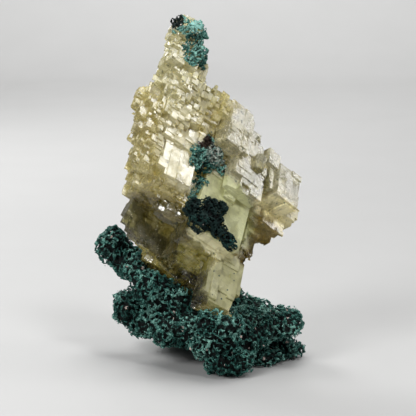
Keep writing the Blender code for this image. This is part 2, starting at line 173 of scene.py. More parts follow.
# Each crystal: the middle of its large front face as seen from in front (across, up, back),
# its edge lengths (down, right, deep) in mm, and how far it is turned to the left and to face right
crystals = {
    "towerTip": ((-5.4, 105.0, 2.0), (7.6, 7.6, 5.0), (0, 0)),
    "towerLeftTip": ((-9.6, 103.6, 3.0), (6.0, 3.4, 4.0), (3, 0)),
    "towerUpper": ((-5.6, 99.0, -0.5), (9.0, 8.4, 8.0), (2, 0)),
    "towerSide": ((-12.4, 94.4, 2.0), (8.0, 3.6, 3.4), (4, 0)),
    "towerSideLow": ((-12.6, 87.4, 1.6), (7.0, 4.0, 3.4), (0, 0)),
    "towerMiddle": ((-4.6, 92.0, -1.5), (11.0, 7.8, 9.5), (-1, 0)),
    "towerLower": ((-4.4, 84.0, -2.6), (12.0, 9.0, 8.0), (1, 0)),
    "towerRoot": ((-6.0, 76.0, -4.0), (13.0, 12.0, 10.0), (0, 0)),
    "crown": ((-17.6, 87.0, 0.5), (7.0, 4.4, 4.6), (0, 0)),
    "shoulder": ((-19.6, 84.6, 2.0), (8.0, 3.4, 3.6), (1, 0)),
    "leftUpper": ((-17.4, 77.6, -1.0), (11.0, 6.0, 6.0), (2, 0)),
    "leftMiddle": ((-17.4, 68.4, -2.4), (11.0, 7.0, 6.6), (-1, 0)),
    "leftLower": ((-17.6, 60.6, -3.6), (8.6, 8.0, 7.6), (2, 0)),
    "bright": ((-8.0, 68.4, -7.6), (19.0, 10.6, 5.6), (7, 0)),
    "belowBright": ((-9.8, 53.8, -8.0), (8.4, 7.0, 5.6), (4, 0)),
    "brightStep": ((-11.4, 60.6, -6.4), (12.0, 8.0, 5.6), (5, 0)),
    "central": ((4.6, 50.4, -9.4), (20.0, 16.6, 4.0), (-1, 9)),
    "centralStep": ((3.0, 47.4, -7.6), (20.0, 17.4, 6.0), (-1, 9)),
    "apron": ((-3.4, 41.6, -8.6), (12.0, 9.4, 8.0), (-1, 4)),
    "lower": ((5.2, 31.0, -15.6), (20.0, 10.8, 7.0), (5, 6)),
    "step": ((-5.6, 37.0, -7.8), (8.0, 6.4, 7.0), (0, 3)),
    "stepUnder": ((-3.0, 32.4, -8.6), (8.0, 6.6, 8.0), (-3, 0)),
    "dark": ((-14.9, 44.4, -1.6), (18.0, 24.0, 3.6), (-6, 0)),
    "darkInner": ((-4.0, 30.0, 2.6), (17.0, 14.0, 10.0), (-4, 0)),
    "notch": ((3.6, 84.6, 1.0), (7.0, 4.4, 6.0), (-4, 12)),
    "notchRight": ((7.0, 82.0, 0.0), (7.0, 5.0, 8.0), (-4, 16)),
    "wingUpper": ((10.0, 76.0, -1.8), (14.0, 8.6, 5.0), (-4, 18)),
    "wingBack": ((13.6, 71.0, 1.0), (10.0, 8.0, 8.0), (-4, 20)),
    "wingMiddle": ((13.2, 63.2, -4.0), (16.0, 11.0, 4.6), (-4, 20)),
    "wingInner": ((20.2, 60.6, -1.6), (8.0, 4.0, 9.0), (-4, 22)),
    "wingOuter": ((24.8, 58.2, -1.4), (11.0, 8.4, 10.0), (-4, 22)),
    "wingCrest": ((20.6, 66.4, 1.0), (5.0, 4.4, 6.0), (-4, 22)),
    "wingEdge": ((26.2, 50.8, 1.0), (7.0, 4.6, 8.0), (-4, 22)),
    "wingLower": ((20.4, 48.4, -1.4), (8.0, 8.0, 8.0), (-4, 20)),
    "wingFoot": ((14.0, 43.8, -2.0), (7.4, 5.4, 7.0), (-3, 14)),
    "wingToe": ((12.2, 38.8, -3.6), (6.4, 4.4, 6.0), (-2, 12)),
    "core": ((0.0, 60.0, -3.8), (24.0, 18.0, 20.0), (0, 0)),
    "coreLow": ((0.6, 42.4, -4.0), (20.0, 15.0, 20.0), (1, 4)),
}

# Where crystals of each kind grow: the outline seen from in front, the middle depth, the half
# thickness, and how many crystals of each mean edge length to try for
regions = {
    "tower": {
        "outline": (
            (-13.0, 107.9), (-8.4, 110.7), (-2.8, 107.9), (0.3, 105.7), (-0.3, 100.4), (0.9, 97.7),
            (-0.6, 91.8), (0.6, 86.8), (1.9, 78.7), (-14.9, 78.7), (-15.5, 89.3), (-14.6, 94.2),
            (-15.5, 97.7), (-13.6, 102.9),
        ),
        "middle": 6.0, "half": 8.5, "sizes": ((7.0, 5), (4.4, 14), (3.0, 16)),
    },
    "left": {
        "outline": (
            (-15.5, 89.3), (-18.3, 91.8), (-21.1, 90.5), (-23.2, 83.4), (-22.9, 69.8), (-25.4, 64.5),
            (-25.7, 57.7), (-24.5, 56.1), (-13.9, 51.5), (-6.2, 51.5), (-2.5, 68.8), (-0.9, 89.3),
        ),
        "middle": 5.0, "half": 14.5, "sizes": ((11.0, 4), (7.0, 8), (4.6, 40), (3.4, 44)),
    },
    "right": {
        "outline": (
            (0.9, 84.6), (2.5, 88.0), (8.7, 84.0), (12.7, 77.8), (19.2, 68.8), (23.2, 66.7),
            (27.6, 61.7), (28.5, 50.8), (24.2, 41.5), (14.9, 39.1), (10.2, 34.7), (5.3, 42.5),
            (-2.5, 56.4), (-8.7, 81.2),
        ),
        "middle": 6.5, "half": 12.5, "sizes": ((12.0, 7), (8.0, 10), (5.0, 18), (3.4, 20)),
    },
    "centre": {
        "outline": (
            (-5.6, 85.6), (4.3, 84.9), (13.6, 62.6), (13.6, 49.6), (8.7, 36.0), (-5.6, 44.0),
            (-13.9, 52.1), (-13.9, 64.2), (-11.8, 73.5),
        ),
        "middle": 6.0, "half": 16.0, "sizes": ((14.0, 6), (9.0, 7), (5.0, 8)),
    },
    "lower": {
        "outline": ((-5.6, 44.6), (11.5, 34.1), (9.3, 21.7), (4.3, 18.6), (-3.1, 21.7), (-6.8, 34.1)),
        "middle": 4.0, "half": 13.0, "sizes": ((9.0, 5), (6.0, 6), (3.6, 6)),
    },
    "dark": {
        "outline": (
            (-24.5, 57.0), (-27.6, 45.6), (-21.1, 36.0), (-11.8, 25.4), (1.9, 18.6), (6.2, 32.2),
            (-0.6, 54.6), (-11.8, 59.5),
        ),
        "middle": 12.0, "half": 10.0, "sizes": ((11.0, 7), (7.0, 9), (4.4, 8)),
    },
}

growth = {
    "seed": 13,
    "viewTilt": 10.0,  # degrees above level that the places above are seen from
    "footBack": -20.0,
    # Calcite's cleavage edges as (right, up, towards the viewer), which meet at 78 and 102 degrees
    "edges": ((-0.316, -0.849, 0.424), (0.82, -0.57, -0.044), (0.565, 0.395, 0.725)),
    "roundingDepth": 7.0,
    "skinShare": 0.3,
    "triesEach": 60,
    "heldCorners": (2, 6),  # how many of a crystal's corners are in the ones before it
    "turnSpread": 2.2,
    "namedSpread": 0.6,
    "edgeSpread": (0.68, 1.4),
    "shift": (2.6, -3.6, 0.0),  # mm, from these places to the solid model's frame
}


def placed(across, up, back):
    # The point in mm that is seen at this place
    tilt = math.radians(growth["viewTilt"])
    height = (up - (back - growth["footBack"]) * math.sin(tilt)) / math.cos(tilt)
    return Vector((across, back, height))


def seen(points):
    # Where points in mm are seen, as an array of (across, up)
    tilt = math.radians(growth["viewTilt"])
    up = points[:, 2] * math.cos(tilt) + (points[:, 1] - growth["footBack"]) * math.sin(tilt)
    return np.stack([points[:, 0], up], axis=1)


def fromView(direction):
    right, up, towards = direction
    tilt = math.radians(growth["viewTilt"])
    back = up * math.sin(tilt) - towards * math.cos(tilt)
    height = up * math.cos(tilt) + towards * math.sin(tilt)
    return Vector((right, back, height)).normalized()


def rhombAxes(turns):
    aboutView, aboutX, aboutZ = (math.radians(turn) for turn in turns)
    turned = (
        Matrix.Rotation(aboutView, 3, fromView((0.0, 0.0, 1.0)))
        @ Matrix.Rotation(aboutX, 3, "X")
        @ Matrix.Rotation(aboutZ, 3, "Z")
    )
    return [turned @ fromView(edge) for edge in growth["edges"]]


cornerSigns = np.array([(i, j, k) for i in (-1, 1) for j in (-1, 1) for k in (-1, 1)])


class Rhomb:
    # A cleavage rhomb: its middle, and its half edges as columns, in mm
    def __init__(self, middle, edges, turns):
        self.middle = np.array(middle)
        self.turns = turns
        self.edges = np.array(edges)
        axes = rhombAxes(turns)
        self.halfEdges = np.array([axis * (edge / 2) for axis, edge in zip(axes, edges)]).T
        self.inverse = np.linalg.inv(self.halfEdges)

    def corners(self):
        return self.middle + cornerSigns @ self.halfEdges.T

    def holds(self, points):
        local = (points - self.middle) @ self.inverse.T
        return (np.abs(local) < 1.0).all(axis=1)

    def mesh(self, chamfer):
        shape = bmesh.new()
        bmesh.ops.create_cube(shape, size=2.0)
        place = Matrix(self.halfEdges.tolist()).to_4x4()
        place.translation = Vector(self.middle)
        bmesh.ops.transform(shape, matrix=Matrix.Scale(mm, 4) @ place, verts=shape.verts[:])
        bevelled = bmesh.ops.bevel(
            shape, geom=shape.edges[:], offset=chamfer * mm, affect="EDGES",
            segments=1, profile=0.5, material=-1,
        )
        for face in bevelled["faces"]:
            face.material_index = 1  # frosted edges, painted paler partly as a highlight, take the second material
        made = bpy.data.meshes.new("rhomb")
        shape.to_mesh(made)
        shape.free()
        return made


def rhombByFace(faceMiddle, edges, turns):
    out = rhombAxes(turns)[2]
    return Rhomb(placed(*faceMiddle) - out * (edges[2] / 2), edges, turns)


def depthInside(outline, points):
    # How far inside an outline each point is, in mm; negative outside it
    corners = np.array(outline)
    nexts = np.roll(corners, -1, axis=0)
    sides = nexts - corners
    offsets = points[:, None, :] - corners[None]
    along = np.clip((offsets * sides).sum(axis=2) / (sides**2).sum(axis=1), 0.0, 1.0)
    distance = np.linalg.norm(offsets - along[..., None] * sides, axis=2).min(axis=1)
    spans = (corners[:, 1] > points[:, 1, None]) != (nexts[:, 1] > points[:, 1, None])
    with np.errstate(divide="ignore", invalid="ignore"):
        crossing = corners[:, 0] + (points[:, 1, None] - corners[:, 1]) * sides[:, 0] / sides[:, 1]
    inside = ((points[:, 0, None] < crossing) & spans).sum(axis=1) % 2 == 1
    return np.where(inside, distance, -distance)


def fits(region, points, skin):
    depth = depthInside(region["outline"], seen(points))
    if depth.min() < 0.0:
        return False
    slope = 1.0 - np.minimum(depth / growth["roundingDepth"], 1.0)
    half = (region["half"] - skin) * np.sqrt(1.0 - slope**2)
    return bool((np.abs(points[:, 1] - region["middle"]) <= half).all())


def growRegion(region, grown, rng):
    outline = np.array(region["outline"])
    low, high = outline.min(axis=0), outline.max(axis=0)
    smallest = region["sizes"][-1][0]
    for size, wanted in region["sizes"]:
        added = 0
        for _ in range(wanted * growth["triesEach"]):
            if added == wanted:
                break
            across = rng.uniform(low[0], high[0])
            up = rng.uniform(low[1], high[1])
            back = region["middle"] + rng.uniform(-region["half"], region["half"])
            edges = [size * rng.uniform(*growth["edgeSpread"]) for _ in range(3)]
            turns = [rng.gauss(0.0, growth["turnSpread"]) for _ in range(3)]
            rhomb = Rhomb(placed(across, up, back), edges, turns)
            corners = rhomb.corners()
            if not fits(region, corners, (size - smallest) * growth["skinShare"]):
                continue
            hidden = np.zeros(len(corners), bool)
            for other in grown:
                hidden |= other.holds(corners)
            fewest, most = growth["heldCorners"]
            if hidden.sum() > most or hidden.sum() < fewest:
                continue
            grown.append(rhomb)
            added += 1


def growCrystals():
    rng = random.Random(growth["seed"])
    grown = []
    spread = growth["namedSpread"]
    for faceMiddle, edges, (left, right) in crystals.values():
        turns = (left, rng.gauss(0.0, spread), right + rng.gauss(0.0, spread))
        grown.append(rhombByFace(faceMiddle, edges, turns))
    for region in regions.values():
        growRegion(region, grown, rng)
    return grown


# Smaller crystals in the corners between the large ones, chips out of their edges, and thin
# plates on their faces, all in the lattice of the crystal that they grow on
steps = {
    "seed": 5,
    "chamfer": (0.05, 0.15),  # mm, of a crystal's edges
    "cell": 0.7,  # mm, of the grid that says how crowded a place is
    "blur": 2.0,  # mm
    "blurReach": 2.5,  # times the blur
    "margin": 8.0,  # mm of the grid round the crystals
    "pointCount": 400000,  # random places that are looked at for each kind, and how many are used
    "pointLimit": 40000,
    "triesEach": 6,
    "outlineRoom": 1.5,  # mm that a crust may start outside its outline
    "edgeSpread": (0.6, 1.5),
    "turnSpread": 1.6,
    # Each kind: how many, edge lengths in mm, how crowded its middle and its corners may be
    "fillers": {
        "large": (260, (3.0, 6.0), (0.52, 0.9), (0.36, 1.0)),
        "middle": (420, (1.8, 3.6), (0.48, 0.7), (0.33, 1.0)),
    },
    "chips": {
        "large": (260, (2.0, 4.2), (0.2, 0.4), (0.0, 0.66)),
        "small": (420, (0.9, 2.2), (0.12, 0.42), (0.0, 0.6)),
    },
    "chipHeld": 2,  # at most this many of a chip's corners are in the crystal, so it opens an edge
    "chipShrink": 0.6,  # and still no more when the chip is this much of its size
    "crust": {
        "left": (800, (1.1, 3.0), (0.36, 0.56), (0.2, 1.0)),
        "tower": (280, (1.0, 2.6), (0.3, 0.54), (0.14, 1.0)),
        "right": (50, (1.0, 2.6), (0.36, 0.56), (0.22, 1.0)),
        "lower": (60, (0.9, 2.0), (0.36, 0.56), (0.22, 1.0)),
    },
    # Faces that stay smooth and tufts that stay clear, as seen from in front
    "smoothFaces": (
        ((-5.0, 53.3), (-2.5, 60.1), (6.5, 62.0), (10.2, 55.8), (13.6, 49.9), (9.9, 36.0),
         (5.6, 37.2), (-0.9, 41.5), (-5.3, 44.3)),
        ((-27.3, 46.5), (-24.8, 54.6), (-13.3, 49.6), (-7.1, 42.5), (-7.8, 34.1), (-11.8, 31.6),
         (-18.0, 37.2)),
        ((0.0, 34.1), (10.9, 34.1), (8.1, 22.9), (-0.6, 22.9)),
        ((8.0, 84.0), (13.6, 77.0), (20.0, 68.4), (28.6, 62.4), (29.0, 50.0), (22.0, 43.6),
         (15.4, 49.0), (12.6, 56.0), (8.4, 61.0), (5.0, 72.0)),
        ((-12.4, 75.0), (-5.0, 76.6), (-3.7, 62.6), (-5.6, 57.0), (-13.0, 64.2)),
        ((-9.6, 109.1), (0.6, 108.5), (0.6, 92.6), (-5.8, 92.6), (-6.0, 103.4)),
        ((-6.4, 74.4), (6.8, 74.4), (6.8, 54.0), (-6.4, 54.0)),
    ),
    "smoothBack": 3.0,  # mm, how far back those faces reach
    "plateSpacing": 3.6,  # mm between plates on an ordinary face
    "plateRise": (0.1, 0.5),  # mm that a plate stands proud
    "plateShare": (0.25, 0.9),  # of its face's sides
    "plateNarrow": (0.4, 1.0),
    "plateThick": (1.2, 2.4),  # mm, most of it inside the crystal
    "plateEdge": (0.3, 0.3),  # share of plates that reach past an edge, and by how many mm
    "plateTurn": 0.8,
    "plateHeld": 6,  # a plate with more corners than this inside the crystals is left out
    # Fewer plates on the crystals that are smooth
    "smooth": {
        "central": 0.1, "wingOuter": 0.3, "dark": 0.2, "lower": 0.35, "bright": 0.2, "wingMiddle": 0.5,
    },
    "joinCell": 9.0,  # mm, neighbours are in the same cell
}


class Field:
    # Which cells of a grid are in the crystals, and how crowded each cell's surroundings are
    def __init__(self, rhombs):
        corners = np.concatenate([rhomb.corners() for rhomb in rhombs])
        self.cell = steps["cell"]
        self.low = corners.min(axis=0) - steps["margin"]
        count = ((corners.max(axis=0) + steps["margin"] - self.low) / self.cell).astype(int) + 1
        self.solid = np.zeros(count, bool)
        for rhomb in rhombs:
            box = rhomb.corners()
            first = np.maximum(((box.min(axis=0) - self.low) / self.cell).astype(int), 0)
            last = ((box.max(axis=0) - self.low) / self.cell).astype(int) + 2
            ranges = [np.arange(first[i], min(last[i], count[i])) for i in range(3)]
            cells = np.stack(np.meshgrid(*ranges, indexing="ij"), axis=-1)
            inside = rhomb.holds(self.low + cells.reshape(-1, 3) * self.cell)
            part = self.solid[np.ix_(*ranges)] | inside.reshape(cells.shape[:3])
            self.solid[np.ix_(*ranges)] = part
        reach = int(round(steps["blurReach"] * steps["blur"] / self.cell))
        weights = np.exp(-0.5 * (np.arange(-reach, reach + 1) * self.cell / steps["blur"]) ** 2)
        self.crowd = self.solid.astype(float)
        for axis in range(3):
            rolled = [w * np.roll(self.crowd, k - reach, axis) for k, w in enumerate(weights)]
            self.crowd = sum(rolled) / weights.sum()

    def at(self, values, points):
        cells = np.round((points - self.low) / self.cell).astype(int)
        cells = np.clip(cells, 0, np.array(values.shape) - 1)
        return values[cells[:, 0], cells[:, 1], cells[:, 2]]


def scatter(field, grown, kind, rng, inSolid=None, outline=None):
    # Small rhombs at random places that are as crowded as their kind asks
    wanted, sizes, crowdRange, cornerRange = kind
    high = field.low + np.array(field.solid.shape) * field.cell
    points = rng.uniform(field.low, high, (steps["pointCount"], 3))
    crowd = field.at(field.crowd, points)
    good = (crowd > crowdRange[0]) & (crowd < crowdRange[1])
    if inSolid is not None:
        good &= field.at(field.solid, points) == inSolid
    points = points[good][:steps["pointLimit"]]
    for smooth in steps["smoothFaces"]:
        onFace = (depthInside(smooth, seen(points)) > 0.0) & (points[:, 1] < steps["smoothBack"])
        points = points[~onFace]
    if outline is not None:
        points = points[depthInside(outline, seen(points)) > -steps["outlineRoom"]]
    made = []
    for point in points[:wanted * steps["triesEach"]]:
        if len(made) == wanted:
            break
        size = rng.uniform(*sizes)
        edges = size * rng.uniform(*steps["edgeSpread"], 3)
        rhomb = Rhomb(point, edges, rng.normal(0.0, steps["turnSpread"], 3))
        crowded = field.at(field.crowd, rhomb.corners())
        if crowded.min() < cornerRange[0] or crowded.max() > cornerRange[1]:
            continue
        if inSolid and not opensEdge(rhomb, grown):
            continue
        made.append(rhomb)
    return made


def opensEdge(chip, grown):
    # True when most of the chip's corners stand well clear of the crystals
    corners = chip.middle + cornerSigns @ chip.halfEdges.T * steps["chipShrink"]
    held = np.zeros(8, bool)
    for other in grown:
        held |= other.holds(corners)
    return held.sum() <= steps["chipHeld"]


def growPlates(grown):
    # Thin plates on the faces of the crystals, kept where they still show
    rng = random.Random(steps["seed"])
    names = list(crystals)
    found = []
    for index, rhomb in enumerate(grown):
        density = steps["smooth"].get(names[index], 1.0) if index < len(names) else 1.0
        for axis in range(3):
            sides = [other for other in range(3) if other != axis]
            area = rhomb.edges[sides[0]] * rhomb.edges[sides[1]]
            for side in (-1.0, 1.0):
                count = area / steps["plateSpacing"] ** 2 * density
                count = int(count) + (rng.random() < count % 1.0)
                for _ in range(count):
                    found.append(plateOn(rhomb, axis, side, sides, rng))
    corners = np.concatenate([rhomb.corners() for rhomb in found])
    hidden = np.zeros(len(corners), bool)
    for rhomb in grown:
        hidden |= rhomb.holds(corners)
    hidden = hidden.reshape(-1, 8).sum(axis=1)
    return [rhomb for rhomb, count in zip(found, hidden) if count <= steps["plateHeld"]]


def plateOn(rhomb, axis, side, sides, rng):
    past, reach = steps["plateEdge"]
    rise = rng.uniform(*steps["plateRise"])
    size = [0.0, 0.0, 0.0]
    local = [0.0, 0.0, 0.0]
    for other in sides:
        share = rng.uniform(*steps["plateShare"]) * rng.uniform(*steps["plateNarrow"])
        size[other] = max(1.0, share * rhomb.edges[other])
        room = max(0.0, 1.0 - size[other] / rhomb.edges[other])
        local[other] = rng.uniform(-room, room)
        if rng.random() < past:
            local[other] = math.copysign(room + reach / rhomb.edges[other], local[other])
    size[axis] = rng.uniform(*steps["plateThick"])
    local[axis] = side * (1.0 + (2.0 * rise - size[axis]) / rhomb.edges[axis])
    turns = [turn + rng.gauss(0.0, steps["plateTurn"]) for turn in rhomb.turns]
    return Rhomb(rhomb.middle + rhomb.halfEdges @ np.array(local), size, turns)


def booleanPair(first, second, operation):
    a = newObject("first", first)
    b = newObject("second", second)
    step = a.modifiers.new("step", "BOOLEAN")
    step.operation = operation
    step.object = b
    step.solver = "MANIFOLD"
    return a, b


def unionAll(meshes):
    # Joins the meshes two by two, level by level, all the pairs of a level at once
    while len(meshes) > 1:
        pairs = [booleanPair(*meshes[i:i + 2], "UNION") for i in range(0, len(meshes) - 1, 2)]
        bpy.context.view_layer.update()
        graph = bpy.context.evaluated_depsgraph_get()
        joined = [bpy.data.meshes.new_from_object(a.evaluated_get(graph)) for a, _ in pairs]
        if len(meshes) % 2:
            joined.append(meshes[-1])
        for a, b in pairs:
            bpy.data.objects.remove(a)
            bpy.data.objects.remove(b)
        meshes = joined
    return meshes[0]


def keepOuterBody(mesh):
    shape = bmesh.new()
    shape.from_mesh(mesh)
    left = set(shape.verts)
    bodies = []
    while left:
        start = left.pop()
        body, waiting = {start}, [start]
        while waiting:
            for edge in waiting.pop().link_edges:
                for vertex in edge.verts:
                    if vertex in left:
                        left.discard(vertex)
                        body.add(vertex)
                        waiting.append(vertex)
        bodies.append(body)
    largest = max(bodies, key=lambda body: max(v.co.z for v in body) - min(v.co.z for v in body))
    scraps = [vertex for body in bodies if body is not largest for vertex in body]
    bmesh.ops.delete(shape, geom=scraps, context="VERTS")
    shape.to_mesh(mesh)
    shape.free()
    return len(bodies)


def joined(rhombs, rng):
    # Neighbours are joined first, so the list is sorted by place
    inOrder = sorted(rhombs, key=lambda rhomb: tuple(np.round(rhomb.middle / steps["joinCell"])))
    return unionAll([rhomb.mesh(rng.uniform(*steps["chamfer"])) for rhomb in inOrder])


def buildCalcite():
    grown = growCrystals()
    rng = np.random.default_rng(steps["seed"])
    field = Field(grown)
    added = growPlates(grown)
    plates = len(added)
    for kind in steps["fillers"].values():
        added += scatter(field, grown, kind, rng, inSolid=False)
    for name, kind in steps["crust"].items():
        added += scatter(field, grown, kind, rng, outline=regions[name]["outline"])
    chips = []
    for kind in steps["chips"].values():
        chips += scatter(field, grown, kind, rng, inSolid=True)
    print("calcite:", len(grown), "crystals,", plates, "plates,", len(added) - plates, "small,",
          len(chips), "chips")
    whole = joined(grown + added, rng)
    cut = joined(chips, rng)
    a, b = booleanPair(whole, cut, "DIFFERENCE")
    mesh = bakedMesh(a)
    bpy.data.objects.remove(a)
    bpy.data.objects.remove(b)
    bodies = keepOuterBody(mesh)
    mesh.transform(Matrix.Translation(Vector(growth["shift"]) * mm))
    mesh.name = "calciteCrystals"
    mesh.materials.clear()
    print("calcite: outer body of", bodies, "kept,", triangleCount(mesh), "triangles")
    return newObject("calciteCrystals", mesh)


# The malachite net

malachiteNet = {
    "voxel": 0.34,  # mm
    "quickVoxel": 0.5,
    "spacing": 1.9,  # mm between fibres
    "thickness": 0.29,  # mm, half a fibre's width
    "proud": 0.5,  # mm that the net stands out of the solid's face
    "core": 1.2,  # mm below the face where the net closes
    "lump": 2.6,  # mm, how far the face swells and sinks
    "lumpLength": 3.2,
    "adaptivity": 0.35,
}
tuftNet = {
    "voxel": 0.21,
    "quickVoxel": 0.36,
    "spacing": 1.4,
    "thickness": 0.26,
    "proud": 0.8,
    "core": 0.5,
    "lump": 0.9,
    "lumpLength": 1.6,
    "adaptivity": 0.3,
}


def mergedCopy(node):
    shape = bmesh.new()
    shape.from_mesh(node.data)
    bmesh.ops.remove_doubles(shape, verts=shape.verts[:], dist=1e-6)
    for face in shape.faces:
        face.smooth = True
    mesh = bpy.data.meshes.new("merged")
    shape.to_mesh(mesh)
    shape.free()
    return newObject("merged", mesh)


netLevel = 10.0  # the density at the net's skin, well above the empty space's 0


def netTree(source, low, high, values, voxel):
    # A volume that is denser than netLevel inside the net, by 1 for each mm, and its skin
    tree = bpy.data.node_groups.new("net", "GeometryNodeTree")
    tree.interface.new_socket("Geometry", in_out="OUTPUT", socket_type="NodeSocketGeometry")
    graph = Graph(tree)
    info = graph.out("GeometryNodeObjectInfo", {"transform_space": "ORIGINAL"}, {"Object": source},
                     "Geometry")
    place = graph.out("GeometryNodeInputPosition")
    nearest = graph.node("GeometryNodeProximity", {"target_element": "FACES"}, {0: info})
    normal = graph.out("GeometryNodeInputNormal")
    facing = graph.out("GeometryNodeSampleNearestSurface", {"data_type": "FLOAT_VECTOR"},
                       {"Mesh": info, "Value": normal}, "Value")
    away = graph.vector("SUBTRACT", place, nearest.outputs["Position"])
    side = graph.vector("DOT_PRODUCT", away, facing, output="Value").math("SIGN")
    outside = Value(graph, nearest.outputs["Distance"]) * side * (1.0 / mm)
    inMm = graph.millimetres(place)
    first = graph.noise(graph.shift(inMm, 31.0), values["spacing"], 1.0) - 0.5
    second = graph.noise(graph.shift(inMm, 173.0), values["spacing"], 1.0) - 0.5
    fromFibre = (first * first + second * second).math("SQRT") * (2.0 * values["spacing"])
    fibres = values["thickness"] - fromFibre
    lumps = (graph.noise(graph.shift(inMm, 90.0), values["lumpLength"], 1.0) - 0.5) * values["lump"]
    skin = lumps + values["proud"] - outside
    core = lumps - values["core"] - outside
    inside = fibres.math("MINIMUM", skin).math("MAXIMUM", core)
    height = graph.out("ShaderNodeSeparateXYZ", None, {0: inMm}, 2)
    inside = inside.math("MINIMUM", height) + netLevel
    cells = [max(2, int((high[i] - low[i]) / (voxel * mm)) + 1) for i in range(3)]
    inputs = {
        "Density": inside, "Background": 0.0, "Min": tuple(low), "Max": tuple(high),
        "Resolution X": cells[0], "Resolution Y": cells[1], "Resolution Z": cells[2],
    }
    volume = graph.out("GeometryNodeVolumeCube", None, inputs)
    inputs = {"Volume": volume, "Threshold": netLevel, "Adaptivity": values["adaptivity"]}
    net = graph.out("GeometryNodeVolumeToMesh", {"resolution_mode": "GRID"}, inputs)
    # Depth below the net's outer skin, which the material turns into painted shade in the pores
    inputs = {"Geometry": net, "Name": "depth", "Value": skin}
    settings = {"data_type": "FLOAT", "domain": "POINT"}
    net = graph.out("GeometryNodeStoreNamedAttribute", settings, inputs)
    graph.node("NodeGroupOutput", None, {0: net})
    return tree


def buildNet(nodeName, pieceName, values, parts=1):
    # The node's own form as a net of fibres, in slices from left to right
    source = mergedCopy(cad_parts[nodeName])
    voxel = values["voxel"]
    low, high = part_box(nodeName)
    room = values["proud"] + values["lump"] / 2 + 2 * voxel
    low = low - Vector((room, room, room)) * mm
    high = high + Vector((room, room, room)) * mm
    low.z = max(low.z, -2 * voxel * mm)
    pieces = []
    for index in range(parts):
        left = low.copy()
        right = high.copy()
        left.x = low.x + (high.x - low.x) * index / parts
        right.x = low.x + (high.x - low.x) * (index + 1) / parts
        name = pieceName if parts == 1 else f"{pieceName}{index + 1}"
        piece = newObject(name, bpy.data.meshes.new(name))
        step = piece.modifiers.new("net", "NODES")
        step.node_group = netTree(source, left, right, values, voxel)
        mesh = bakedMesh(piece)
        mesh.materials.clear()
        piece.modifiers.clear()
        piece.data = mesh
        pieces.append(piece)
        print(name, triangleCount(mesh), "triangles")
    bpy.data.objects.remove(source)
    return pieces


# Materials

def lattice(graph, inMm):
    # Object coordinates along the crystals' own edges
    axes = np.array([tuple(fromView(edge)) for edge in growth["edges"]]).T
    rows = np.linalg.inv(axes)
    parts = [graph.vector("DOT_PRODUCT", inMm, tuple(row), output="Value") for row in rows]
    return graph.out("ShaderNodeCombineXYZ", None, {0: parts[0], 1: parts[1], 2: parts[2]})


# What all the calcite shares
calciteFinish = {
    "honey": ((0.66, 0.58, 0.23), 0.6, 0.19),  # colour, how milky it is and how rough
    "ior": 1.6,
    "clearTransmission": 1.0,
    "milkyTransmission": 0.3,
    "milkyRough": 0.08,  # more than the clear part
    "clearGamma": 0.75,  # lightens the clear part
    "absorption": (0.85, 0.79, 0.42, 1.0),
    "density": 120.0,
    "patchEdge": 0.16,  # how soft the patches below are at their rims
    "patchSway": (4.0, 4.0, 0.0),  # mm that their rims wander
    "grain": (0.008, 0.045, 0.032),  # colour of the sparse green grains
    "grainScale": 0.45,
    "grainRim": (0.1, 0.15),
    "grainFrom": 0.6,
    "crack": (0.9, 0.87, 0.68),
    "crackScale": 0.45,
    "crackWidth": 0.05,
    "crackShare": (0.52, 0.66),
    "cloud": (0.95, 0.9, 0.7),
    "cloudSize": 5.0,  # mm
    "fineSize": 1.3,
    "streakSize": 0.7,
    "streakStretch": (1.0, 0.1, 1.0),  # growth lines run along the second edge
    "wideFacets": (2.6, 0.14),  # size in mm, and how far they lean
    "fineFacets": (1.0, 0.07),
    # The pale colour of the frosted edges, partly frost and partly a painted highlight along them
    "frostedEdgeAndHighlight": (0.92, 0.88, 0.68),
}
# Where the crystals change colour, one patch of it painted shade, as seen from in front: middle and
# half size in mm, the turn in degrees, the colour, how milky it is and how rough
calciteTones = {
    "tower": ((-6.5, 97.0), (11.0, 19.0), 0, (0.78, 0.74, 0.44), 0.62, 0.18),
    "wing": ((17.0, 66.0), (17.0, 20.0), -40, (0.56, 0.54, 0.38), 0.5, 0.14),
    "olivePatch": ((14.6, 60.1), (4.6, 3.6), 0, (0.3, 0.3, 0.16), 0.35, 0.1),
    "amberFace": ((21.5, 48.6), (8.0, 6.0), -40, (0.95, 0.86, 0.5), 0.85, 0.2),
    # Painted shade: the lower wing crystals are made a darker brown where they lie in shade
    "brownPaintedShade": ((14.6, 41.0), (8.0, 9.0), 0, (0.26, 0.19, 0.06), 0.35, 0.12),
    "bright": ((-8.4, 68.5), (6.6, 12.5), 10, (0.82, 0.77, 0.5), 0.7, 0.16),
    "dark": ((-15.5, 41.0), (17.0, 13.5), -38, (0.125, 0.112, 0.024), 0.34, 0.08),
    "amberStrip": ((-18.4, 36.8), (7.0, 1.6), -38, (0.4, 0.35, 0.1), 0.6, 0.15),
    "darkest": ((-4.6, 28.5), (6.0, 7.5), 0, (0.01, 0.011, 0.003), 0.3, 0.08),
    "olive": ((-4.2, 37.0), (5.6, 5.6), 0, (0.34, 0.31, 0.06), 0.6, 0.16),
    "central": ((4.2, 49.6), (9.4, 12.6), 20, (0.68, 0.71, 0.38), 0.9, 0.35),
    "strip": ((1.8, 39.4), (9.6, 2.3), -38, (0.86, 0.82, 0.5), 0.85, 0.3),
    "lower": ((5.4, 28.4), (7.0, 7.4), 0, (0.46, 0.45, 0.2), 0.75, 0.35),
}


def asSeen(graph, inMm):
    # Object coordinates as (across, up) from in front, level with the values above
    tilt = math.radians(growth["viewTilt"])
    shiftX, shiftY, _ = growth["shift"]
    across = graph.out("ShaderNodeSeparateXYZ", None, {0: inMm}) - shiftX
    up = graph.vector("DOT_PRODUCT", inMm, (0.0, math.sin(tilt), math.cos(tilt)), output="Value")
    up = up - (shiftY + growth["footBack"]) * math.sin(tilt)
    return graph.out("ShaderNodeCombineXYZ", None, {0: across, 1: up})


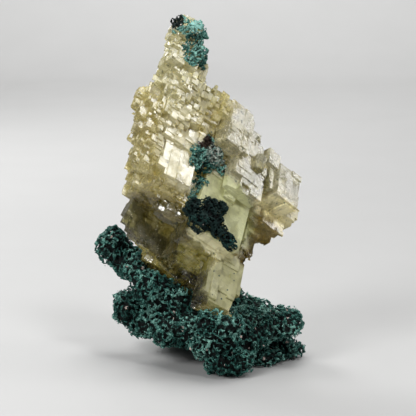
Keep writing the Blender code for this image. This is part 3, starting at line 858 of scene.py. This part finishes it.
def patch(graph, place, middle, halves, turn, soft):
    # 1 inside an ellipse, 0 outside it
    centred = graph.vector("SUBTRACT", place, (*middle, 0.0))
    turned = graph.out("ShaderNodeVectorRotate", {"rotation_type": "Z_AXIS"},
                       {"Vector": centred, "Angle": math.radians(-turn)})
    scaled = graph.vector("DIVIDE", turned, (*halves, 1.0))
    distance = graph.vector("LENGTH", scaled, output="Value")
    return 1.0 - distance.smooth(1.0 - soft, 1.0 + soft)


def facets(graph, cells, size, amount):
    # Each cell of the lattice leans its own way, like the small faces of a crackled crystal
    inputs = {"Vector": cells, "Scale": 1.0 / size, "Randomness": 0.9}
    cell = graph.node("ShaderNodeTexVoronoi", {"distance": "CHEBYCHEV"}, inputs)
    lean = graph.vector("SUBTRACT", cell.outputs["Color"], (0.5, 0.5, 0.5))
    inCell = graph.vector("SUBTRACT", cells, cell.outputs["Position"])
    slope = graph.vector("DOT_PRODUCT", lean, inCell, output="Value") * amount
    return slope, graph.cellNumber(cell.outputs["Color"])


def grains(graph, inMm, scale, rim, chosenFrom):
    # 1 in round grains, at the places whose random number is above chosenFrom
    grain = graph.node("ShaderNodeTexVoronoi", None, {"Vector": inMm, "Scale": scale})
    near = 1.0 - Value(graph, grain.outputs["Distance"]).smooth(*rim)
    return near * graph.cellNumber(grain.outputs["Color"]).smooth(chosenFrom, chosenFrom + 0.02)


def calciteMaterial(name, edgeFrostAndHighlight):
    # The edge share is 1 on the crystals' frosted edges and 0 on their faces.
    # The edges are frosted, and also painted paler as a highlight along them
    made, graph = newMaterial(name)
    inMm = graph.millimetres(graph.objectPlace())
    cells = lattice(graph, inMm)
    front = asSeen(graph, inMm)
    wander = graph.node("ShaderNodeTexNoise", None, {"Vector": inMm, "Scale": 0.3, "Detail": 3.0})
    sway = graph.vector("SUBTRACT", wander.outputs["Color"], (0.5, 0.5, 0.5))
    sway = graph.vector("MULTIPLY", sway, calciteFinish["patchSway"])
    front = graph.vector("ADD", front, sway)
    tone, milky, rough = calciteFinish["honey"]
    for middle, halves, turn, colour, itsMilky, itsRough in calciteTones.values():
        share = patch(graph, front, middle, halves, turn, calciteFinish["patchEdge"])
        tone = graph.mix(share, tone, colour)
        milky = share * (itsMilky - milky) + milky
        rough = share * (itsRough - rough) + rough
    cloud = graph.noise(inMm, calciteFinish["cloudSize"], 4.0, 0.6)
    fine = graph.noise(cells, calciteFinish["fineSize"], 4.0, 0.65)
    along = graph.vector("MULTIPLY", cells, calciteFinish["streakStretch"])
    streak = graph.noise(along, calciteFinish["streakSize"], 3.0, 0.6)
    # Cleavage cracks: thin pale lines along the lattice
    inputs = {"Vector": cells, "Scale": calciteFinish["crackScale"]}
    toCrack = graph.out("ShaderNodeTexVoronoi", {"feature": "DISTANCE_TO_EDGE"}, inputs, "Distance")
    crack = 1.0 - toCrack.smooth(0.0, calciteFinish["crackWidth"])
    crack = crack * graph.noise(inMm, 6.0).smooth(*calciteFinish["crackShare"])
    lighter = graph.mix(0.5, tone, calciteFinish["cloud"], "SCREEN")
    tone = graph.mix(cloud.smooth(0.35, 0.7) * 0.35, tone, lighter)
    tone = graph.mix(crack * 0.5, tone, calciteFinish["crack"])
    # Sparse grains of malachite on and in the crystals
    speck = grains(graph, inMm, calciteFinish["grainScale"], calciteFinish["grainRim"],
                   calciteFinish["grainFrom"])
    speckle = (fine - 0.5) * 0.5 + (cloud - 0.5) * 0.8
    milkyShare = milky + speckle + speck + crack * 0.4
    milkyShare = milkyShare.math("ADD", edgeFrostAndHighlight * 0.3, clamp=True)
    leanWide, wideShade = facets(graph, cells, *calciteFinish["wideFacets"])
    leanFine, fineShade = facets(graph, cells, *calciteFinish["fineFacets"])
    shade = wideShade * 0.5 + fineShade * 0.3 + streak * 0.4 - 0.1
    shading = {0: shade * 0.7 + 0.64, 1: shade * 0.7 + 0.63, 2: shade * 0.8 + 0.54}
    tone = graph.mix(1.0, tone, graph.out("ShaderNodeCombineXYZ", None, shading), "MULTIPLY")
    # Painted highlight: the edges are paled, partly for their frost and partly for light catching
    # along them
    paler = graph.mix(0.7, tone, calciteFinish["frostedEdgeAndHighlight"], "SCREEN")
    tone = graph.mix(edgeFrostAndHighlight * 0.8, tone, paler)
    tone = graph.mix(speck, tone, calciteFinish["grain"])
    relief = leanWide + leanFine + fine * 0.015 + streak * 0.05
    bump = graph.out("ShaderNodeBump", None, {"Strength": 0.5, "Distance": 0.001, "Height": relief})
    roughness = rough + (fine - 0.5) * 0.1 + edgeFrostAndHighlight * 0.2
    clear = graph.node("ShaderNodeBsdfPrincipled", None, {
        "Base Color": graph.out("ShaderNodeGamma", None, {0: tone, 1: calciteFinish["clearGamma"]}),
        "Roughness": roughness, "IOR": calciteFinish["ior"],
        "Transmission Weight": calciteFinish["clearTransmission"], "Normal": bump,
    })
    milk = graph.node("ShaderNodeBsdfPrincipled", None, {
        "Base Color": tone, "Roughness": roughness + calciteFinish["milkyRough"],
        "IOR": calciteFinish["ior"], "Transmission Weight": calciteFinish["milkyTransmission"],
        "Normal": bump,
    })
    inputs = {0: milkyShare, 1: clear.outputs[0], 2: milk.outputs[0]}
    both = graph.node("ShaderNodeMixShader", None, inputs)
    inputs = {"Color": calciteFinish["absorption"], "Density": calciteFinish["density"]}
    soak = graph.node("ShaderNodeVolumeAbsorption", None, inputs)
    inputs = {"Surface": both.outputs[0], "Volume": soak.outputs[0]}
    graph.node("ShaderNodeOutputMaterial", None, inputs)
    return made


malachiteTones = {
    # The colour of the painted shade deep in the net's pores
    "paintedPoreShade": (0.0008, 0.0022, 0.002),
    "deep": (0.004, 0.016, 0.014),
    "teal": (0.017, 0.098, 0.08),
    "pale": (0.28, 0.54, 0.46),
    "speck": (0.66, 0.55, 0.49),
}
malachiteFinish = {
    "stops": (("deep", 0.38), ("teal", 0.51), ("pale", 0.67)),
    "rough": 0.6,
    "speckGloss": 0.3,
    "specular": 0.15,
    "speckRim": (0.16, 0.27),
    "spotSway": 3.0,  # mm that a spot's rim wanders
}


def malachiteMaterial(name, values):
    made, graph = newMaterial(name)
    inMm = graph.millimetres(graph.objectPlace())
    depth = graph.out("ShaderNodeAttribute", {"attribute_name": "depth"}, None, "Fac")
    fine = graph.noise(inMm, 0.55, 3.0, 0.7)
    broad = graph.noise(graph.shift(inMm, 40.0), 7.0, 2.0)
    level = fine * 0.75 + broad * 0.5 - 0.125 + values["shade"]
    stops = [(where, malachiteTones[colour]) for colour, where in malachiteFinish["stops"]]
    tone = graph.out("ShaderNodeValToRGB", {"stops": stops}, {0: level})
    # Painted shade in the pores: the deeper in the net, the darker
    tone = graph.mix(depth.smooth(*values["depth"]), tone, malachiteTones["paintedPoreShade"])
    speck = grains(graph, inMm, values["speckScale"], malachiteFinish["speckRim"], values["speckFrom"])
    front = asSeen(graph, inMm)
    for colour, spot, reach, share in values["spots"]:
        away = graph.vector("DISTANCE", front, (*spot, 0.0), output="Value")
        away = away + (fine - 0.5) * malachiteFinish["spotSway"]
        covered = (1.0 - away.smooth(reach * 0.8, reach)) * (fine + (share - 0.5)).smooth(0.42, 0.5)
        tone = graph.mix(covered, tone, colour)
    tone = graph.mix(speck, tone, malachiteTones["speck"])
    fuzz = graph.noise(inMm, 0.25, 3.0, 0.6)
    bump = graph.out("ShaderNodeBump", None, {"Strength": 0.6, "Distance": 0.0002, "Height": fuzz})
    shader = graph.node("ShaderNodeBsdfPrincipled", None, {
        "Base Color": tone, "Normal": bump, "Specular IOR Level": malachiteFinish["specular"],
        "Roughness": malachiteFinish["rough"] - speck * malachiteFinish["speckGloss"],
    })
    graph.node("ShaderNodeOutputMaterial", None, {"Surface": shader.outputs[0]})
    return made


# The stage, lights and camera

studio = {
    "floor": (3.0, 1.2, 0.9, 0.35),  # width, reach to the front and the back, radius of the sweep
    "sweepSteps": 24,
    "wall": 1.5,
    "floorTones": ((0.44, 0.44, 0.435), (0.47, 0.47, 0.465)),
    "aim": (0.0026, 0.0, 0.048),
    "elevation": 10.0,
    "distance": 0.484,
    "lens": 135.0,
    "world": (0.12, 0.12, 0.125),
    # Soft boxes: place, what it points at, size in metres, watts and spread in degrees
    "boxes": {
        "sideRight": ((0.5, -0.02, 0.33), (0.0, 0.0, 0.05), 0.14, 0.6, 180),
        "keyRight": ((0.24, -0.36, 0.62), (0.0, 0.0, 0.05), 0.14, 1.7, 180),
        "keyLeft": ((-0.42, -0.42, 0.42), (0.0, 0.0, 0.05), 0.25, 2.9, 180),
        "backLeft": ((-0.34, 0.44, 0.4), (0.0, 0.0, 0.05), 0.25, 2.4, 180),
        "top": ((0.05, 0.1, 0.7), (0.0, 0.0, 0.05), 0.3, 2.6, 180),
        "wall": ((0.0, 0.3, 1.2), (0.0, 1.25, 0.4), 0.6, 8.0, 100),
    },
}


def floorMaterial():
    made, graph = newMaterial("paleFloor")
    grain = graph.noise(graph.objectPlace(), 0.05, 3.0)
    tone = graph.mix(grain, *studio["floorTones"])
    shader = graph.node("ShaderNodeBsdfPrincipled", None, {"Base Color": tone, "Roughness": 0.6})
    graph.node("ShaderNodeOutputMaterial", None, {"Surface": shader.outputs[0]})
    return made


def buildSweep():
    # A pale floor that curves up into a wall behind the object
    width, front, back, radius = studio["floor"]
    shape = bmesh.new()
    start = shape.verts.new((-width / 2, -front, 0.0))
    end = shape.verts.new((width / 2, -front, 0.0))
    edge = shape.edges.new((start, end))

    def pull(edges, offset):
        made = bmesh.ops.extrude_edge_only(shape, edges=edges)["geom"]
        points = [item for item in made if isinstance(item, bmesh.types.BMVert)]
        bmesh.ops.translate(shape, verts=points, vec=offset)
        lines = [item for item in made if isinstance(item, bmesh.types.BMEdge)]
        return [line for line in lines if set(line.verts) <= set(points)]

    rim = pull([edge], (0.0, front + back, 0.0))
    turns = studio["sweepSteps"]
    for index in range(turns):
        angles = [math.radians(90.0 * step / turns) for step in (index, index + 1)]
        run = radius * (math.sin(angles[1]) - math.sin(angles[0]))
        rise = radius * (math.cos(angles[0]) - math.cos(angles[1]))
        rim = pull(rim, (0.0, run, rise))
    pull(rim, (0.0, 0.0, studio["wall"]))
    bmesh.ops.recalc_face_normals(shape, faces=shape.faces[:])
    for face in shape.faces:
        face.smooth = True
    mesh = bpy.data.meshes.new("sweep")
    shape.to_mesh(mesh)
    shape.free()
    sweep = newObject("sweep", mesh)
    sweep.data.materials.append(floorMaterial())


def buildStudio():
    buildSweep()
    aim = Vector(studio["aim"])
    for name, (place, target, size, power, spread) in studio["boxes"].items():
        light = bpy.data.lights.new(name, "AREA")
        light.shape = "SQUARE"
        light.size = size
        light.energy = power
        light.spread = math.radians(spread)
        obj = newObject(name, light)
        obj.location = Vector(place)
        obj.rotation_euler = (Vector(target) - obj.location).to_track_quat("-Z", "Y").to_euler()
    world = bpy.data.worlds.new("studioWorld")
    world.use_nodes = True
    world.node_tree.nodes["Background"].inputs["Color"].default_value = (*studio["world"], 1.0)
    bpy.context.scene.world = world
    bpy.context.scene.view_settings.view_transform = "Standard"
    camera = bpy.data.cameras.new("camera")
    camera.lens = studio["lens"]
    camera.clip_start = 0.01
    obj = newObject("camera", camera)
    elevation = math.radians(studio["elevation"])
    outwards = Vector((0.0, -math.cos(elevation), math.sin(elevation)))
    obj.location = aim + outwards * studio["distance"]
    obj.rotation_euler = (-outwards).to_track_quat("-Z", "Y").to_euler()
    bpy.context.scene.camera = obj


# How the base and each tuft look: paler or darker than the rest, how deep the painted shade in its
# pores begins and turns black, its pale specks, and spots of another colour as (colour, place seen
# from in front, reach in mm, share of it that takes the colour)
malachiteLooks = {
    "malachiteNet": {
        "shade": 0.02, "depth": (0.25, 1.7), "speckScale": 0.4, "speckFrom": 0.9, "spots": (),
    },
    "malachiteTuftTop": {
        "shade": 0.06, "depth": (0.5, 1.8), "speckScale": 0.9, "speckFrom": 0.85,
        "spots": (
            ((0.3, 0.58, 0.52), (-3.4, 106.2), 2.2, 0.8),
            ((0.006, 0.014, 0.012), (-10.4, 108.4), 3.6, 0.8),
            ((0.42, 0.4, 0.24), (-5.0, 103.0), 4.0, 0.35),
        ),
    },
    "malachiteTuftMiddle": {
        "shade": 0.03, "depth": (0.3, 1.6), "speckScale": 1.0, "speckFrom": 0.8,
        "spots": (
            ((0.03, 0.02, 0.014), (-0.9, 71.6), 2.6, 1.0),
            ((0.46, 0.48, 0.42), (3.4, 67.8), 4.4, 0.46),
        ),
    },
    "malachiteTuftPatch": {
        "shade": 0.0, "depth": (0.3, 1.6), "speckScale": 0.9, "speckFrom": 0.9, "spots": (),
    },
    "malachiteTuftBig": {
        "shade": -0.16, "depth": (0.1, 1.2), "speckScale": 0.9, "speckFrom": 0.96, "spots": (),
    },
}
tufts = {
    "malachite_tuft_top": "malachiteTuftTop",
    "malachite_tuft_middle": "malachiteTuftMiddle",
    "malachite_tuft_patch": "malachiteTuftPatch",
    "malachite_tuft_big": "malachiteTuftBig",
}

calcite = buildCalcite()
calcite.data.materials.append(calciteMaterial("honeyCalcite", 0.0))
# The second material, on the frosted edges, carries their painted highlight
calcite.data.materials.append(calciteMaterial("frostedCalciteEdgeAndHighlight", 1.0))
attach(calcite, "root")
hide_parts("calcite_cluster")

green = malachiteMaterial("spongyMalachite", malachiteLooks["malachiteNet"])
parts = buildNet("malachite_matrix", "malachiteNet", malachiteNet, 7)
for piece in parts:
    piece.data.materials.append(green)
    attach(piece, "root")
    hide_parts("malachite_matrix")
for nodeName, pieceName in tufts.items():
    piece = buildNet(nodeName, pieceName, tuftNet)[0]
    piece.data.materials.append(malachiteMaterial(pieceName, malachiteLooks[pieceName]))
    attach(piece, "root")
    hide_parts(nodeName)
print("malachite done")

buildStudio()
print("studio done")
